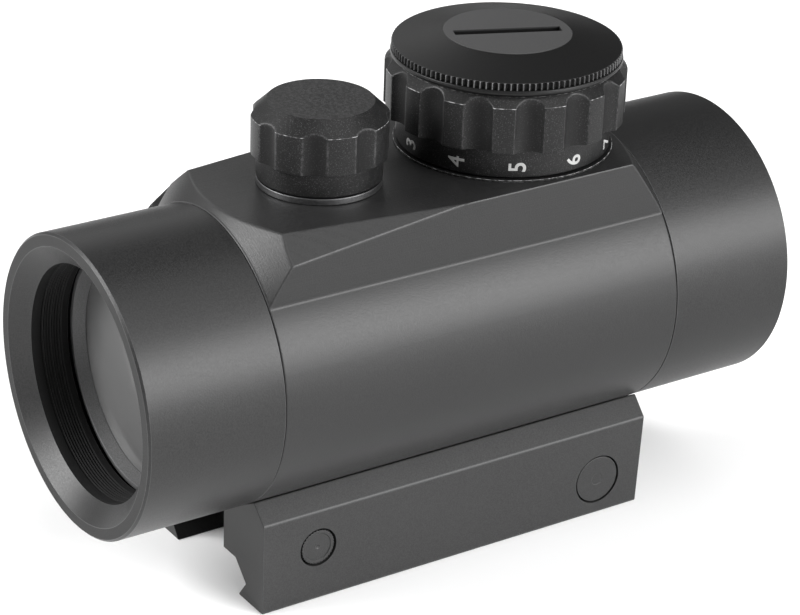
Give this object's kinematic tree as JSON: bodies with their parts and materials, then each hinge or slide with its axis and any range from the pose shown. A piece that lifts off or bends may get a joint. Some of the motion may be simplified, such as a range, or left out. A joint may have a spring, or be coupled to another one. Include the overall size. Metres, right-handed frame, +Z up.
{
  "type": "red dot finder",
  "caption": "Tube-bodied red dot finder with a rail clamp below, capped adjusters on top and side, and a fluted brightness dial with a screwed battery cover.",
  "frame": {"origin": "middle of the flat seat that rests on the rail, half way along the clamp", "axes": "+Z up from the rail, +Y along the tube towards the eye end, +X towards the fixed jaw"},
  "size_m": [0.0537, 0.0975, 0.067],
  "materials": {
    "anodised": "dark anodised, satin",
    "knob": "black anodised, bead blasted",
    "blackened": "matt black",
    "glass": "coated, clear",
    "steel": "satin",
    "brass": "machined",
    "rubber": "matt",
    "board": "green circuit board",
    "lamp": "red, clear cased"
  },
  "bodies": {
    "housing": {"front_tube": "anodised", "main_housing": "anodised", "rear_tube": "anodised", "rear_window": "glass", "rear_window_ring": "blackened", "front_tube_seal": "rubber", "rear_tube_seal": "rubber", "inner_tube_spring": "steel", "led_lead": "rubber", "elevation_collar": "steel", "windage_collar": "steel", "dial_base": "knob", "detent_spring": "steel", "detent_ball": "steel", "dial_retainer": "steel", "switch_board": "board", "battery_contact": "brass", "mount_base": "anodised", "front_stud": "anodised", "rear_stud": "anodised", "base_screw_1": "steel", "base_screw_2": "steel"},
    "pivot_ring": {"pivot_ring": "brass"},
    "inner_tube": {"inner_tube": "blackened", "objective_ring": "blackened", "objective_lens": "glass", "emitter_holder": "blackened", "led_emitter": "lamp", "led_board": "board"},
    "elevation_screw": {"elevation_screw": "brass"},
    "windage_screw": {"windage_screw": "brass"},
    "elevation_cap_seal": {"elevation_cap_seal": "rubber"},
    "elevation_cap": {"elevation_cap": "knob"},
    "windage_cap_seal": {"windage_cap_seal": "rubber"},
    "windage_cap": {"windage_cap": "knob"},
    "brightness_dial": {"brightness_dial": "knob", "battery": "steel"},
    "battery_cap_seal": {"battery_cap_seal": "rubber"},
    "battery_cap": {"battery_cap": "knob"},
    "clamp_jaw": {"clamp_jaw": "anodised"},
    "front_clamp_nut": {"front_clamp_nut": "blackened"},
    "rear_clamp_nut": {"rear_clamp_nut": "blackened"}
  },
  "joints": [
    {"name": "elevation_screw_turn", "type": "hinge", "parent": "housing", "child": "elevation_screw", "pos_m": [0, -0.0142, 0.0469], "axis": [0, 0, 1], "range_deg": [-450, 450]},
    {"name": "inner_tube_pitch", "type": "hinge", "parent": "pivot_ring", "child": "inner_tube", "pos_m": [0, 0.0198, 0.0265], "axis": [-1, 0, 0], "range_deg": [-0.53, 0.53]},
    {"name": "windage_screw_turn", "type": "hinge", "parent": "housing", "child": "windage_screw", "pos_m": [-0.0232, -0.0142, 0.0265], "axis": [-1, 0, 0], "range_deg": [-450, 450]},
    {"name": "pivot_ring_yaw", "type": "hinge", "parent": "housing", "child": "pivot_ring", "pos_m": [0, 0.0198, 0.0265], "axis": [0, 0, -1], "range_deg": [-0.53, 0.53]},
    {"name": "elevation_cap_turn", "type": "hinge", "parent": "elevation_cap_seal", "child": "elevation_cap", "pos_m": [0, -0.0142, 0.0469], "axis": [0, 0, 1], "range_deg": [0, 2880]},
    {"name": "elevation_cap_lift", "type": "slide", "parent": "housing", "child": "elevation_cap_seal", "axis": [0, 0, 1], "range_m": [0, 0.006]},
    {"name": "windage_cap_turn", "type": "hinge", "parent": "windage_cap_seal", "child": "windage_cap", "pos_m": [-0.0232, -0.0142, 0.0265], "axis": [-1, 0, 0], "range_deg": [0, 2880]},
    {"name": "windage_cap_lift", "type": "slide", "parent": "housing", "child": "windage_cap_seal", "axis": [-1, 0, 0], "range_m": [0, 0.006]},
    {"name": "brightness_dial_turn", "type": "hinge", "parent": "housing", "child": "brightness_dial", "pos_m": [0, 0.01385, 0.0469], "axis": [0, 0, 1], "range_deg": [-163.64, 163.64]},
    {"name": "battery_cap_turn", "type": "hinge", "parent": "battery_cap_seal", "child": "battery_cap", "pos_m": [0, 0.01385, 0.0469], "axis": [0, 0, 1], "range_deg": [0, 720]},
    {"name": "battery_cap_lift", "type": "slide", "parent": "brightness_dial", "child": "battery_cap_seal", "axis": [0, 0, 1], "range_m": [0, 0.0015]},
    {"name": "front_clamp_nut_turn", "type": "hinge", "parent": "clamp_jaw", "child": "front_clamp_nut", "pos_m": [-0.0157, -0.0215, 0.0026], "axis": [-1, 0, 0], "range_deg": [0, 1440]},
    {"name": "clamp_jaw_slide", "type": "slide", "parent": "housing", "child": "clamp_jaw", "axis": [-1, 0, 0], "range_m": [0, 0.0028]},
    {"name": "rear_clamp_nut_turn", "type": "hinge", "parent": "clamp_jaw", "child": "rear_clamp_nut", "pos_m": [-0.0157, 0.0229, 0.0002], "axis": [-1, 0, 0], "range_deg": [0, 1440]}
  ],
  "couplings": [
    {"joint": "inner_tube_pitch", "follows": "elevation_screw_turn", "ratio": 0.0011703},
    {"joint": "pivot_ring_yaw", "follows": "windage_screw_turn", "ratio": 0.0011703},
    {"joint": "elevation_cap_turn", "follows": "elevation_cap_lift", "rad_per_m": 8377.6},
    {"joint": "windage_cap_turn", "follows": "windage_cap_lift", "rad_per_m": 8377.6},
    {"joint": "battery_cap_turn", "follows": "battery_cap_lift", "rad_per_m": 8377.6},
    {"joint": "front_clamp_nut_turn", "follows": "clamp_jaw_slide", "rad_per_m": 8976},
    {"joint": "rear_clamp_nut_turn", "follows": "clamp_jaw_slide", "rad_per_m": 8976}
  ]
}
